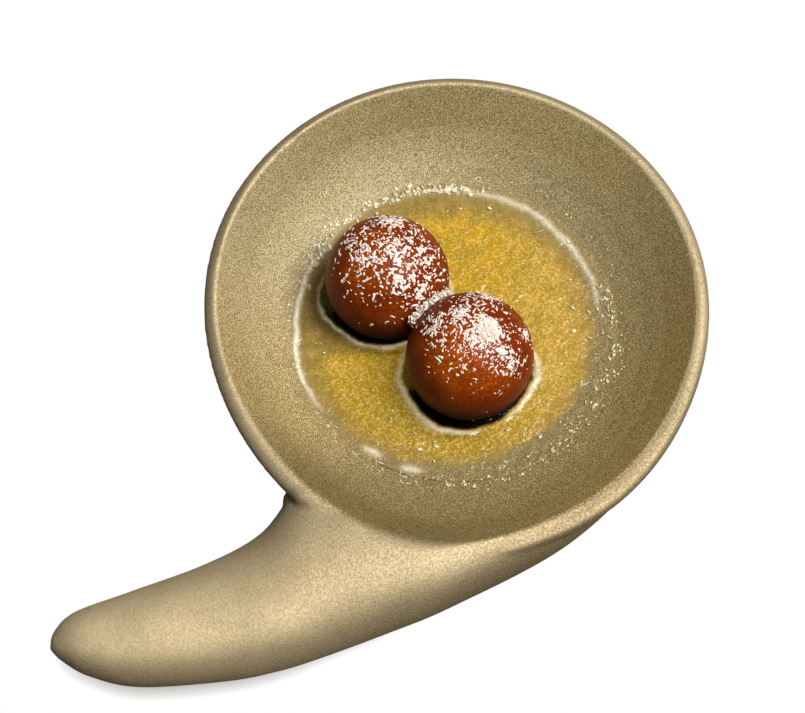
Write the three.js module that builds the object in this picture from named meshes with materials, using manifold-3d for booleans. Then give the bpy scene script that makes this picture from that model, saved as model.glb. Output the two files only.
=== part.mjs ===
// Two gulab jamun in a pool of sugar syrup, served in a stoneware bowl whose rim runs out into a horn-shaped handle.
// Millimetres, +Z up. The origin is the centre of the bowl's foot, on the table. +Y points to the back of the bowl,
// and the handle sweeps round the front and ends at the left.
import * as THREE from "three";
import Module from "manifold-3d";
import { mergeVertices } from "three/addons/utils/BufferGeometryUtils.js";

const wasm = await Module();
wasm.setup();

// ---- Driving dimensions -------------------------------------------------------------------------
const RIM_RADIUS = 73.2; // the crest of the lip
const RIM_HEIGHT = 35; // the crest at the back of the bowl
const FRONT_DIP = 0.09; // share of its height that the bowl loses from the back to the front
const FLOOR_HEIGHT = 5.5; // the inside floor at the axis
const WALL_POWER = 4.5; // the inside wall rises with this power of the radius
const WALL_THICKNESS = 5;
const FOOT_RADIUS = 38;
const SWELL = 0.014; // how much wider than round the bowl is at the back left
const LIP_WIDTH = 3.9; // from the crest to the outermost edge, at the back and the sides
const LIP_GROWTH = 2.2; // what the lip gains in width towards the front
const FRONT_REACH = 6; // how far the bowl's wall leans out further at the front, over the handle
const REACH_START = 45; // the radius where it starts to do so
const DRAWN_IN = { share: 0.3, middle: -70, spread: 18 }; // where the handle's root takes that away: degrees from +X
const FLARE_START = { angle: -80, turn: 20 }; // the flare grows over this turn, from the sharp edge right of it
const LIP_FLARE = 0.8; // radius between the inside wall and the lip at the back
const FRONT_FLARE = 6; // the same radius where the wall meets the handle
const FRONT_RISE = 1.6; // how far the handle stands above the line of the lip at the front
const POOL_HEIGHT = 10.8; // the level of the syrup
const GAP = 0.3; // what touching pieces keep between them

// The handle, as stations from its root on the right-hand rim to its tip: the points of its outer and inner edge in
// plan, and the heights of its top and its underside. Below the table it is cut flat.
const HORN_STATIONS = [
  { outer: [72.2, -25.8], inner: [65, -23], top: 33.2, under: 27.5 },
  { outer: [56, -53.9], inner: [46, -44], top: 33.0, under: 21 },
  { outer: [32.2, -76.2], inner: [24, -57], top: 33.3, under: 12 },
  { outer: [-2, -94], inner: [-3, -57], top: 33.6, under: 5 },
  { outer: [-22, -101.7], inner: [-27, -54], top: 33.4, under: 0 },
  { outer: [-41, -108.6], inner: [-46, -55.5], top: 32, under: -1.5 },
  { outer: [-53, -112], inner: [-59, -71], top: 29.3, under: -1.5 },
  { outer: [-68, -114.6], inner: [-75.5, -80], top: 26, under: -1.5 },
  { outer: [-94, -116], inner: [-98, -88], top: 22, under: -1 },
  { outer: [-109, -112.8], inner: [-114, -94], top: 18.5, under: 2 },
  { outer: [-117.2, -108.2], inner: [-120, -99.8], top: 14, under: 5 },
];
const HORN_TIP = { outer: [-121, -104.8], inner: [-121, -104.8], top: 9.5, under: 9.5 };
const HORN_FULLNESS = 0.85; // 1 gives the handle oval sections, less than 1 fuller ones

// The web of clay in the notch between the lip and the start of the handle.
const WEB = { middle: [-48.1, -62.8, 22], size: [4.4, 3.8, 6] };

// The two balls: where they stand, how wide they are, how far their coconut reaches from their top, and the heap that
// it makes: which way from the top, how high and how wide, in radians.
const JAMUNS = [
  {
    name: "jamun_left",
    x: -21.4,
    y: 9.9,
    radius: 19.2,
    seed: 11,
    spread: 0.95,
    heap: { towards: [0.2, 0.02], height: 0.5, width: 0.4 },
  },
  {
    name: "jamun_right",
    x: 3.8,
    y: -17,
    radius: 19.6,
    seed: 29,
    spread: 0.85,
    heap: { towards: [0.26, 0], height: 1.3, width: 0.28 },
  },
];
const FLAKES_PER_BALL = 50;
const FLAKE_SIZE = [3.2, 1.15, 0.8]; // length, width and thickness of the largest shreds

const BOWL_SEGMENTS = 60;
const HORN_RINGS = 36;
const HORN_SIDES = 20;

// ---- Small tools --------------------------------------------------------------------------------
const clamp01 = (x) => Math.min(1, Math.max(0, x));
const smooth = (x) => clamp01(x) ** 2 * (3 - 2 * clamp01(x));

// Seeded random numbers from 0 to 1.
function randomSource(seed) {
  let state = seed;
  return () => {
    state = (state * 1664525 + 1013904223) % 4294967296;
    return state / 4294967296;
  };
}

function solidFrom(geometry) {
  const bare = geometry.index ? geometry.toNonIndexed() : geometry.clone();
  const shell = new THREE.BufferGeometry().setAttribute("position", bare.getAttribute("position"));
  const merged = mergeVertices(shell, 1e-4);
  return new wasm.Manifold(
    new wasm.Mesh({
      numProp: 3,
      vertProperties: merged.attributes.position.array,
      triVerts: new Uint32Array(merged.index.array),
    }),
  );
}

function meshFrom(solid, name, material) {
  const { numProp, numVert, vertProperties, triVerts } = solid.getMesh();
  const positions = new Float32Array(numVert * 3);
  for (let i = 0; i < numVert; i++) {
    positions.set(vertProperties.subarray(i * numProp, i * numProp + 3), i * 3);
  }
  const geometry = new THREE.BufferGeometry();
  geometry.setAttribute("position", new THREE.BufferAttribute(positions, 3));
  geometry.setIndex(new THREE.BufferAttribute(triVerts, 1));
  geometry.computeVertexNormals();
  const mesh = new THREE.Mesh(geometry, material);
  mesh.name = name;
  return mesh;
}

// Moves every vertex of a geometry by a function of its place.
function reshape(geometry, move) {
  const places = geometry.getAttribute("position");
  const p = new THREE.Vector3();
  for (let i = 0; i < places.count; i++) {
    move(p.fromBufferAttribute(places, i), i);
    places.setXYZ(i, p.x, p.y, p.z);
  }
  return geometry;
}

// A turned solid about the Z axis, from its outline as points of radius and height, bottom first.
function turned(outline, segments) {
  const points = outline.map(([r, z]) => new THREE.Vector2(r, z));
  return new THREE.LatheGeometry(points, segments).rotateX(Math.PI / 2);
}

// ---- The bowl -----------------------------------------------------------------------------------
// How far round to the front a point is: 0 at the sides and the back, 1 straight at the front.
const frontness = (p) => Math.max(0, -p.y / Math.hypot(p.x, p.y, 1e-9)) ** 1.5;

const degreesOf = (p) => THREE.MathUtils.radToDeg(Math.atan2(p.y, p.x));

// The share of the front's reach that is gone at a point, where the root of the handle stands further in.
const drawnIn = (p) => DRAWN_IN.share * Math.exp(-(((degreesOf(p) - DRAWN_IN.middle) / DRAWN_IN.spread) ** 2));

// Gives a turned piece the bowl's own form: a little wider at the back left, leaning out further at the front, and
// lower towards the front.
function settle(p) {
  const radius = Math.hypot(p.x, p.y, 1e-9);
  const backLeft = Math.max(0, (p.y - p.x) / radius / Math.SQRT2);
  const leaning = smooth((radius - REACH_START) / (RIM_RADIUS - REACH_START));
  const reach = FRONT_REACH * (1 - drawnIn(p)) * frontness(p) ** 2.5 * leaning;
  const wide = (1 + SWELL * backLeft ** 2) * (1 + reach / radius);
  const low = 1 - (FRONT_DIP / 2) * (1 - p.y / RIM_RADIUS);
  p.set(p.x * wide, p.y * wide, p.z * low);
}

const insideHeight = (r) => FLOOR_HEIGHT + (RIM_HEIGHT - FLOOR_HEIGHT) * (r / RIM_RADIUS) ** WALL_POWER;
const insideSlope = (r) =>
  ((WALL_POWER * (RIM_HEIGHT - FLOOR_HEIGHT)) / RIM_RADIUS) * (r / RIM_RADIUS) ** (WALL_POWER - 1);

// A point at a distance square to the inside wall, outwards if the distance is positive.
function besideWall(r, distance) {
  const angle = Math.atan(insideSlope(r));
  return [r + distance * Math.sin(angle), insideHeight(r) - distance * Math.cos(angle)];
}

function outerBowl() {
  const outline = [[0, 0], [FOOT_RADIUS - 0.8, 0], [FOOT_RADIUS, 0.8], [FOOT_RADIUS + 0.4, 2]];
  for (const r of [42, 46, 50, 54, 58, 62, 66, 69.5]) outline.push(besideWall(r, WALL_THICKNESS));
  const wallEnd = outline.length;
  const lipSteps = 6;
  for (let i = 0; i <= lipSteps; i++) {
    const turn = (i / lipSteps) * (Math.PI / 2);
    outline.push([RIM_RADIUS + LIP_WIDTH * Math.cos(turn), RIM_HEIGHT - LIP_WIDTH * (1 - Math.sin(turn))]);
  }
  outline.push([0, RIM_HEIGHT]);
  const geometry = turned(outline, BOWL_SEGMENTS);
  const widest = RIM_RADIUS + LIP_WIDTH;
  return reshape(geometry, (p, i) => {
    const k = i % outline.length;
    const radius = Math.hypot(p.x, p.y);
    const onLip = clamp01((radius - RIM_RADIUS) / LIP_WIDTH);
    const share = k >= wallEnd ? onLip : smooth((radius - FOOT_RADIUS) / (widest - FOOT_RADIUS));
    const grown = radius > 0 ? (radius + LIP_GROWTH * frontness(p) * share) / radius : 1;
    p.set(p.x * grown, p.y * grown, p.z);
    settle(p);
  });
}

// The hollow of the bowl, as a solid to cut with. Its wall turns outwards in a flare that runs level at the top of the
// lip, or at the front at the top of the handle.
function hollow(inset) {
  const flareSteps = 5;
  const outline = [[0, FLOOR_HEIGHT + inset]];
  for (const r of [14, 26, 34, 40, 45, 49, 53, 57, 61, 65]) outline.push(besideWall(r, -inset));
  const flareStart = outline.length;
  for (let i = 0; i <= flareSteps + 1; i++) outline.push([RIM_RADIUS, RIM_HEIGHT + 20]);
  outline.push([0, RIM_HEIGHT + 20]);
  return reshape(turned(outline, BOWL_SEGMENTS), (p, i) => {
    const k = (i % outline.length) - flareStart;
    if (k >= 0 && k <= flareSteps + 1) {
      const front = frontness(p);
      const top = RIM_HEIGHT + FRONT_RISE * front;
      const edge = RIM_RADIUS * ((top - FLOOR_HEIGHT) / (RIM_HEIGHT - FLOOR_HEIGHT)) ** (1 / WALL_POWER);
      const lean = Math.atan(insideSlope(edge));
      const flared = front * smooth((FLARE_START.angle - degreesOf(p)) / FLARE_START.turn);
      const flare = LIP_FLARE + (FRONT_FLARE - LIP_FLARE) * flared;
      const turn = lean * (1 - Math.min(k, flareSteps) / flareSteps);
      const radius = edge + flare * (Math.tan(lean / 2) - Math.sin(turn));
      const height = k > flareSteps ? p.z : top - flare * (1 - Math.cos(turn));
      const scale = radius / Math.hypot(p.x, p.y);
      p.set(p.x * scale, p.y * scale, height);
    }
    settle(p);
  });
}

// ---- The handle ---------------------------------------------------------------------------------
function splineOf(values) {
  return new THREE.CatmullRomCurve3(values, false, "catmullrom", 0.5);
}

const full = (x) => Math.sign(x) * Math.abs(x) ** HORN_FULLNESS;

// A ball, whose rings are moved to the sections of the handle.
function horn() {
  const stations = [...HORN_STATIONS, HORN_TIP];
  const edges = ["outer", "inner"].map((edge) =>
    splineOf(stations.map((s) => new THREE.Vector3(...s[edge], edge === "outer" ? s.top : s.under))),
  );
  const geometry = new THREE.SphereGeometry(1, HORN_SIDES, HORN_RINGS);
  return reshape(geometry, (p, i) => {
    const ring = Math.floor(i / (HORN_SIDES + 1));
    const side = ((i % (HORN_SIDES + 1)) / HORN_SIDES) * 2 * Math.PI;
    const [outer, inner] = edges.map((edge) => edge.getPoint(ring / HORN_RINGS));
    const closing = ring === 0 ? 0 : 1;
    const across = (1 + closing * full(Math.cos(side))) / 2;
    const middle = (outer.z + inner.z) / 2;
    const rise = (closing * (outer.z - inner.z)) / 2;
    p.set(
      inner.x + (outer.x - inner.x) * across,
      inner.y + (outer.y - inner.y) * across,
      middle - rise * full(Math.sin(side)),
    );
  });
}

function dish() {
  const web = new THREE.SphereGeometry(1, 12, 8).scale(...WEB.size).translate(...WEB.middle);
  const table = new THREE.BoxGeometry(400, 400, 40).translate(0, 0, -20);
  return solidFrom(outerBowl())
    .add(solidFrom(horn()))
    .add(solidFrom(web))
    .subtract(solidFrom(hollow(0)))
    .subtract(solidFrom(table));
}

// ---- The food -----------------------------------------------------------------------------------
function ballCentre(ball) {
  const floor = insideHeight(Math.hypot(ball.x, ball.y));
  return new THREE.Vector3(ball.x, ball.y, floor + GAP + ball.radius);
}

// How high the coconut is heaped on a ball, in a direction from its centre.
function heaped({ heap }, direction) {
  const middle = new THREE.Vector3(...heap.towards, 1);
  return heap.height * Math.exp(-((direction.angleTo(middle) / heap.width) ** 2));
}

// A ball of dough with its heap of coconut, a little uneven, and pressed flat where it leans on its neighbour.
function doughBall(ball, neighbour, extra) {
  const centre = ballCentre(ball);
  const away = ballCentre(neighbour).sub(centre);
  const flat = (away.length() * ball.radius) / (ball.radius + neighbour.radius) - GAP / 2;
  const towards = away.clone().normalize();
  const geometry = new THREE.SphereGeometry(1, 28, 20).rotateX(Math.PI / 2);
  return reshape(geometry, (p) => {
    const wide = 0.008 * Math.sin(3.1 * p.x + ball.seed) * Math.cos(2.7 * p.y - ball.seed);
    const high = 0.006 * Math.sin(4 * p.z + ball.seed);
    p.multiplyScalar(ball.radius * (1 + wide + high) + heaped(ball, p));
    const over = p.dot(towards) - flat;
    if (over > 0) p.addScaledVector(towards, -over);
    p.multiplyScalar(1 + extra / ball.radius).add(centre);
  });
}

// A coconut shred lying on a ball, half sunk in it, at a direction from the ball's centre.
function shred(ball, direction, spin, size) {
  const lie = new THREE.Quaternion().setFromUnitVectors(new THREE.Vector3(0, 0, 1), direction);
  const turn = new THREE.Quaternion().setFromAxisAngle(direction, spin);
  const surface = ball.radius * 0.995 + heaped(ball, direction);
  const place = direction.clone().multiplyScalar(surface).add(ballCentre(ball));
  return new THREE.BoxGeometry(FLAKE_SIZE[0] * size, FLAKE_SIZE[1] * size, FLAKE_SIZE[2] * 1.6)
    .applyQuaternion(turn.multiply(lie))
    .translate(place.x, place.y, place.z);
}

function jamun(ball, neighbour) {
  const random = randomSource(ball.seed);
  const golden = Math.PI * (3 - Math.sqrt(5));
  let solid = solidFrom(doughBall(ball, neighbour, 0));
  const other = ballCentre(neighbour);
  for (let i = 0; i < FLAKES_PER_BALL; i++) {
    const tilt = ball.spread * Math.sqrt((i + 0.5) / FLAKES_PER_BALL) + 0.12 * (random() - 0.5);
    const round = i * golden + 0.6 * random();
    const direction = new THREE.Vector3(
      Math.sin(tilt) * Math.cos(round) + ball.heap.towards[0],
      Math.sin(tilt) * Math.sin(round) + ball.heap.towards[1],
      Math.cos(tilt),
    ).normalize();
    const spin = random() * Math.PI;
    const size = 0.75 + 0.5 * random();
    const place = direction.clone().multiplyScalar(ball.radius).add(ballCentre(ball));
    if (place.distanceTo(other) < neighbour.radius + FLAKE_SIZE[0]) continue;
    solid = solid.add(solidFrom(shred(ball, direction, spin, size)));
  }
  return solid;
}

function syrup() {
  const level = new THREE.CylinderGeometry(RIM_RADIUS, RIM_RADIUS, POOL_HEIGHT, BOWL_SEGMENTS)
    .rotateX(Math.PI / 2)
    .translate(0, 0, POOL_HEIGHT / 2);
  const [left, right] = JAMUNS;
  return solidFrom(hollow(GAP))
    .intersect(solidFrom(level))
    .subtract(solidFrom(doughBall(left, right, GAP)))
    .subtract(solidFrom(doughBall(right, left, GAP)));
}

// ---- Materials and the finished group -----------------------------------------------------------
const stoneware = new THREE.MeshStandardMaterial({ color: 0xa58f63, roughness: 0.5, metalness: 0.1 });
const friedDough = new THREE.MeshStandardMaterial({ color: 0x7a2f0c, roughness: 0.3, metalness: 0 });
const sugarSyrup = new THREE.MeshStandardMaterial({ color: 0xc99a2e, roughness: 0.1, metalness: 0 });

const serving = new THREE.Group();
serving.add(meshFrom(dish(), "dish", stoneware));
serving.add(meshFrom(syrup(), "syrup", sugarSyrup));
const [left, right] = JAMUNS;
serving.add(meshFrom(jamun(left, right), left.name, friedDough));
serving.add(meshFrom(jamun(right, left), right.name, friedDough));

export default serving;
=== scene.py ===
"""The looks of two gulab jamun in a stoneware bowl with a horn handle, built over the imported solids.

Every piece is shaped in millimetres, in the frame of the solids: the origin is the centre of the bowl's foot
on the table, +Z is up and +Y points to the back of the bowl. finished() scales a mesh to metres. Angles round
the bowl are counted from +X towards +Y.
"""
import math
import random

import bmesh
import bpy
from mathutils import Matrix, Quaternion, Vector, noise


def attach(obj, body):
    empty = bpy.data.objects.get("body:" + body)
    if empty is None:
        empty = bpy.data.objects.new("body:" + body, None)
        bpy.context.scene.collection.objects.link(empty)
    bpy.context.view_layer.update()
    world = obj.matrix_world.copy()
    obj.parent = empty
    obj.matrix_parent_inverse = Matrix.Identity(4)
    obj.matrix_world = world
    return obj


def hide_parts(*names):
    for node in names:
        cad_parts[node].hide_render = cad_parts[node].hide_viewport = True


MM = 0.001

# ---- The bowl and its handle -------------------------------------------------------------------------------
RIM_RADIUS = 73.2
RIM_HEIGHT = 35
FRONT_DIP = 0.09  # share of its height that the bowl loses from the back to the front
FLOOR_HEIGHT = 5.5
WALL_POWER = 4.5  # the inside wall rises with this power of the radius
WALL_THICKNESS = 5
FOOT_RADIUS = 38
SWELL = 0.014  # how much wider than round the bowl is at the back left
LIP_WIDTH = 3.9
LIP_SLANT = 1.05  # 1 is a round lip, and more slants it outwards from a crest at its inner edge
SLANT_SHIFT = (-0.25, 0.5)  # how much more it slants at the right and at the back
LIP_GROWTH = 2.2
FRONT_REACH = 6  # how far the bowl's wall leans out further at the front
REACH_START = 45  # the radius where it starts to do so
DRAWN_IN = (0.3, -70, 18)  # share of that reach gone at the handle's root, its middle and spread in degrees
LIP_FLARE = 0.4  # the radius between the inside wall and the lip
FRONT_FLARE = 6  # the same radius where the wall meets the handle
FLARE_START = (-80, 20)  # where it starts to grow, in degrees, and over how large a turn
FRONT_RISE = 1.6  # how far the handle stands above the line of the lip
BOWL_STEPS = 240
GLAZE_VOXEL = 0.8  # the mesh size of the fired clay, fine enough for its lip
GLAZE_FLOW = 4  # rounds of smoothing, which let the glaze fill the creases
GLAZE_KEEP = 0.74  # the share of the mesh's faces that stays, most of them where the clay is curved
NOTCH = (-48.1, -62.8, 22)  # the middle of the web between the lip and the start of the handle
WEB_SIZE = (4.4, 3.8, 6)
WET_REACH = 55.6  # how far out the syrup has wetted the wall
WET_HEIGHT = 25

# The handle from its root at the right to its tip: the outer and the inner edge in plan, and the heights of
# the top and the underside.
HORN_STATIONS = [
    ((72.2, -25.8), (65, -23), 33.2, 27.5),
    ((56, -53.9), (46, -44), 33.0, 21),
    ((32.2, -76.2), (24, -57), 33.3, 12),
    ((-2, -94), (-3, -57), 33.6, 5),
    ((-22, -101.7), (-27, -54), 33.4, 0),
    ((-41, -108.6), (-46, -55.5), 32, -1.5),
    ((-53, -112), (-59, -71), 29.3, -1.5),
    ((-68, -114.6), (-75.5, -80), 26, -1.5),
    ((-94, -116), (-98, -88), 22, -1),
    ((-109, -112.8), (-114, -94), 18.5, 2),
    ((-117.2, -108.2), (-120, -99.8), 14, 5),
    ((-121, -104.8), (-121, -104.8), 9.5, 9.5),
]
HORN_FULLNESS = 0.9  # 1 gives the handle oval sections, less than 1 fuller ones
HORN_RINGS = 140
HORN_SIDES = 72

# ---- The food ----------------------------------------------------------------------------------------------
POOL_HEIGHT = 10.8
POOL_STEPS = 320
POOL_RINGS = 96
POOL_REACH = 52.4  # the syrup's mesh runs this far out, into the wall
GAP = 0.3  # between a ball and the floor of the bowl
EDGE_GLEAMS = (238.5, 254)  # the angles of two painted highlights, pale patches on the syrup's edge
GOLD_REACH = 42  # how far out the syrup is thick enough to be golden, on the mean
FILM_REACH = 46.5  # how far out it hides the glaze, on the mean

# Pale froth on the syrup, by the angle in degrees: its radius, its width and its strength. First the line
# along the shore, then the ring round each ball. The pale colour is partly bubbles and partly a painted
# highlight, where the syrup curves up at its edges.
SHORE_FROTH = (
    (4, 45.2, 0.5, 0), (12, 45.4, 0.9, 0.35), (20, 46.0, 1.0, 0.55), (40, 46.1, 1.1, 0.65),
    (60, 47.3, 1.1, 0.6), (80, 47.6, 0.9, 0.45), (98, 48.3, 0.7, 0.3), (115, 49.3, 0.7, 0.15),
    (132, 50.6, 0.8, 0.35), (148, 49.6, 0.9, 0.4), (158, 50.4, 0.8, 0.8), (165, 50.1, 0.9, 1),
    (180, 50.2, 0.9, 1), (200, 51.4, 0.8, 0.9), (209, 51, 0.8, 0.5), (218, 50.4, 0.6, 0),
)
LEFT_FROTH = (
    (0, 20.3, 0.6, 0.6), (45, 20.3, 0.5, 0.2), (150, 21.5, 0.4, 0.1), (180, 21.8, 0.6, 0.4),
    (195, 21.1, 0.9, 0.65), (210, 19.7, 0.8, 0.8), (225, 18.5, 0.8, 0.7), (240, 18.3, 1.0, 0.75),
    (255, 17.5, 0.7, 0.7), (270, 17.5, 0.7, 0.9), (285, 17.1, 0.6, 0.8), (310, 18.0, 0.5, 0.3),
)
RIGHT_FROTH = (
    (0, 21.0, 1.4, 0.75), (15, 21.8, 0.9, 0.7), (45, 21.0, 0.5, 0.2), (150, 21.5, 0.5, 0.1),
    (180, 21.4, 1.0, 0.5), (195, 20.7, 1.1, 0.65), (210, 20.0, 1.1, 0.75), (225, 20.0, 1.1, 0.75),
    (240, 20.2, 1.3, 0.75), (255, 19.4, 0.65, 1), (270, 19.2, 0.5, 0.75), (285, 18.7, 0.5, 0.1),
    (300, 18.7, 0.5, 0.05), (315, 18.6, 0.8, 0.5), (330, 18.8, 0.7, 0.8), (345, 19.8, 1.0, 0.85),
)


class Ball:
    """One ball of dough: its place, its size, its painted glow and shade, and the pale ring round it."""

    def __init__(self, name, x, y, radius, seed, glow, in_shade, froth_and_gleam):
        floor = inside_height(math.hypot(x, y))
        self.name, self.radius, self.seed = name, radius, seed
        self.centre = Vector((x, y, floor + GAP + radius))
        self.glow, self.in_shade = Vector(glow).normalized(), in_shade
        self.froth_and_gleam = froth_and_gleam


def clamp01(x):
    return min(1.0, max(0.0, x))


def smooth(x):
    return clamp01(x) ** 2 * (3 - 2 * clamp01(x))


def bell(x):
    """1 at 0, falling to nothing on both sides like a bell."""
    return math.exp(-(x**2))


def inside_height(r):
    return FLOOR_HEIGHT + (RIM_HEIGHT - FLOOR_HEIGHT) * (r / RIM_RADIUS) ** WALL_POWER


def inside_slope(r):
    return WALL_POWER * (RIM_HEIGHT - FLOOR_HEIGHT) / RIM_RADIUS * (r / RIM_RADIUS) ** (WALL_POWER - 1)


def beside_wall(r, distance):
    """A point of the outline at a distance square to the inside wall, outwards if it is positive."""
    lean = math.atan(inside_slope(r))
    return r + distance * math.sin(lean), inside_height(r) - distance * math.cos(lean)


def frontness(p):
    """0 at the sides and the back of the bowl, 1 straight at its front."""
    return max(0.0, -p.y / max(p.xy.length, 1e-9)) ** 1.5


def degrees_of(p):
    return math.degrees(math.atan2(p.y, p.x))


def drawn_in(p):
    """The share of the front's reach that is gone at a point, near the root of the handle."""
    share, middle, spread = DRAWN_IN
    return share * bell((degrees_of(p) - middle) / spread)


def flare_at(p):
    """The radius between the inside wall and the lip, large only where the wall meets the handle."""
    start, turn = FLARE_START
    return LIP_FLARE + (FRONT_FLARE - LIP_FLARE) * frontness(p) * smooth((start - degrees_of(p)) / turn)


def widened(p):
    """How much further out than round the bowl is at a turned point."""
    radius = max(p.xy.length, 1e-9)
    back_left = max(0.0, (p.y - p.x) / radius / math.sqrt(2))
    leaning = smooth((radius - REACH_START) / (RIM_RADIUS - REACH_START))
    reach = FRONT_REACH * (1 - drawn_in(p)) * frontness(p) ** 2.5 * leaning
    return (1 + SWELL * back_left**2) * (1 + reach / radius)


def settled(y):
    return 1 - FRONT_DIP / 2 * (1 - y / RIM_RADIUS)


def settle(p):
    """Gives a turned point the bowl's form: wider at the back left and the front, and lower at the front."""
    p.z *= settled(p.y)
    p.xy *= widened(p)


def unsettled(p):
    """The turned point that settle() would move to a place."""
    q = p.copy()
    for _ in range(4):
        q.xy = p.xy / widened(q)
    q.z = p.z / settled(q.y)
    return q


# ---- Mesh tools --------------------------------------------------------------------------------------------
def turned(outline, steps):
    """A turned solid about the Z axis, from its outline as points of radius and height."""
    bm = bmesh.new()
    points = [bm.verts.new((r, 0, z)) for r, z in outline]
    edges = [bm.edges.new(pair) for pair in zip(points, points[1:])]
    whole_turn = {"cent": (0, 0, 0), "axis": (0, 0, 1), "angle": 2 * math.pi}
    bmesh.ops.spin(bm, geom=points + edges, steps=steps, use_merge=True, **whole_turn)
    bmesh.ops.remove_doubles(bm, verts=bm.verts, dist=1e-4)
    bmesh.ops.recalc_face_normals(bm, faces=bm.faces)
    return bm


def object_from(bm, name):
    mesh = bpy.data.meshes.new(name)
    bm.to_mesh(mesh)
    bm.free()
    piece = bpy.data.objects.new(name, mesh)
    bpy.context.scene.collection.objects.link(piece)
    return piece


def with_modifiers(piece, name):
    """A new object that holds the mesh of a piece with its modifiers applied. The piece is removed."""
    evaluated = piece.evaluated_get(bpy.context.evaluated_depsgraph_get())
    mesh = bpy.data.meshes.new_from_object(evaluated)
    bpy.data.objects.remove(piece)
    result = bpy.data.objects.new(name, mesh)
    bpy.context.scene.collection.objects.link(result)
    return result


def finished(piece, material, slot, *nodes):
    """Scales a piece to metres, gives it its finish, and ties it to the part."""
    piece.data.transform(Matrix.Scale(MM, 4))
    piece.data.shade_smooth()
    piece.data.materials.clear()
    piece.data.materials.append(material)
    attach(piece, "root")
    if nodes:
        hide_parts(*nodes)
    return piece


def attribute(mesh, name, values):
    mesh.attributes.new(name, "FLOAT", "POINT").data.foreach_set("value", values)


# ---- The dish ----------------------------------------------------------------------------------------------
def outer_bowl():
    outline = [(0, 0), (FOOT_RADIUS - 0.8, 0), (FOOT_RADIUS, 0.8), (FOOT_RADIUS + 0.4, 2)]
    outline += [beside_wall(r, WALL_THICKNESS) for r in range(41, 70)]
    lip_steps = 14
    for i in range(lip_steps + 1):
        turn = i / lip_steps * math.pi / 2
        outline.append(
            (RIM_RADIUS + LIP_WIDTH * math.cos(turn), RIM_HEIGHT - LIP_WIDTH * (1 - math.sin(turn)))
        )
    outline.append((0, RIM_HEIGHT))
    bm = turned(outline, BOWL_STEPS)
    lip_start = RIM_HEIGHT - LIP_WIDTH - 0.01
    for v in bm.verts:
        radius = v.co.xy.length
        if v.co.z >= lip_start:
            slant = LIP_SLANT + v.co.xy.normalized().dot(Vector(SLANT_SHIFT))
            round_out = clamp01((radius - RIM_RADIUS) / LIP_WIDTH)
            round_up = clamp01(1 - (RIM_HEIGHT - v.co.z) / LIP_WIDTH)
            share = round_out**slant
            v.co.xy *= 1 + LIP_WIDTH * (share - round_out) / max(radius, 1e-9)
            v.co.z = RIM_HEIGHT - LIP_WIDTH * (1 - round_up**slant)
        else:
            share = smooth((radius - FOOT_RADIUS) / (RIM_RADIUS + LIP_WIDTH - FOOT_RADIUS))
        v.co.xy *= 1 + LIP_GROWTH * frontness(v.co) * share / max(radius, 1e-9)
        settle(v.co)
    return bm


def flare_edge(front):
    """Of the hollow's mouth at a given frontness: its height, its radius and the lean of the wall there."""
    top = RIM_HEIGHT + FRONT_RISE * front
    edge = RIM_RADIUS * ((top - FLOOR_HEIGHT) / (RIM_HEIGHT - FLOOR_HEIGHT)) ** (1 / WALL_POWER)
    return top, edge, math.atan(inside_slope(edge))


def hollow():
    """The hollow of the bowl, to cut with. Its wall turns outwards in a flare at its mouth."""
    flare_steps = 14
    outline = [(0, FLOOR_HEIGHT)] + [beside_wall(r, 0) for r in range(4, 66)]
    above = RIM_HEIGHT + 20
    outline += [(RIM_RADIUS + i * 0.01, above + i) for i in range(flare_steps + 2)]
    outline.append((0, above + flare_steps + 1))
    bm = turned(outline, BOWL_STEPS)
    for v in bm.verts:
        if v.co.z >= above and v.co.xy.length > 1:
            k = round(v.co.z - above)
            top, edge, lean = flare_edge(frontness(v.co))
            flare = flare_at(v.co)
            turn = lean * (1 - min(k, flare_steps) / flare_steps)
            radius = edge + flare * (math.tan(lean / 2) - math.sin(turn))
            v.co.xy *= radius / v.co.xy.length
            v.co.z = v.co.z if k > flare_steps else top - flare * (1 - math.cos(turn))
        settle(v.co)
    return bm


def along(values, t):
    """The point at share t of a smooth curve through a list of points."""
    place = t * (len(values) - 1)
    i = min(int(place), len(values) - 2)
    u = place - i
    a, b = values[i], values[i + 1]
    before = values[i - 1] if i > 0 else 2 * a - b
    after = values[i + 2] if i + 2 < len(values) else 2 * b - a
    start, end = (b - before) / 2, (after - a) / 2
    return a + start * u + (3 * (b - a) - 2 * start - end) * u**2 + (2 * (a - b) + start + end) * u**3


def fuller(x):
    return math.copysign(abs(x) ** HORN_FULLNESS, x)


def horn():
    """The handle: a ball whose rings are moved to the handle's sections."""
    outer = [Vector((*edge, top)) for edge, _, top, _ in HORN_STATIONS]
    inner = [Vector((*edge, under)) for _, edge, _, under in HORN_STATIONS]
    bm = bmesh.new()
    bmesh.ops.create_uvsphere(bm, u_segments=HORN_SIDES, v_segments=HORN_RINGS, radius=1)
    for v in bm.verts:
        t = math.acos(max(-1.0, min(1.0, v.co.z))) / math.pi
        side = math.atan2(v.co.y, v.co.x)
        a, b = along(outer, t), along(inner, t)
        closing = smooth(t * HORN_RINGS)
        across = (1 + closing * fuller(math.cos(side))) / 2
        rise = closing * (a.z - b.z) / 2
        v.co = Vector((*b.xy.lerp(a.xy, across), (a.z + b.z) / 2 - rise * fuller(math.sin(side))))
    bmesh.ops.recalc_face_normals(bm, faces=bm.faces)
    return bm


def cut(piece, operation, other):
    modifier = piece.modifiers.new(operation.lower(), "BOOLEAN")
    modifier.operation, modifier.solver, modifier.object = operation, "MANIFOLD", other


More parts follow.
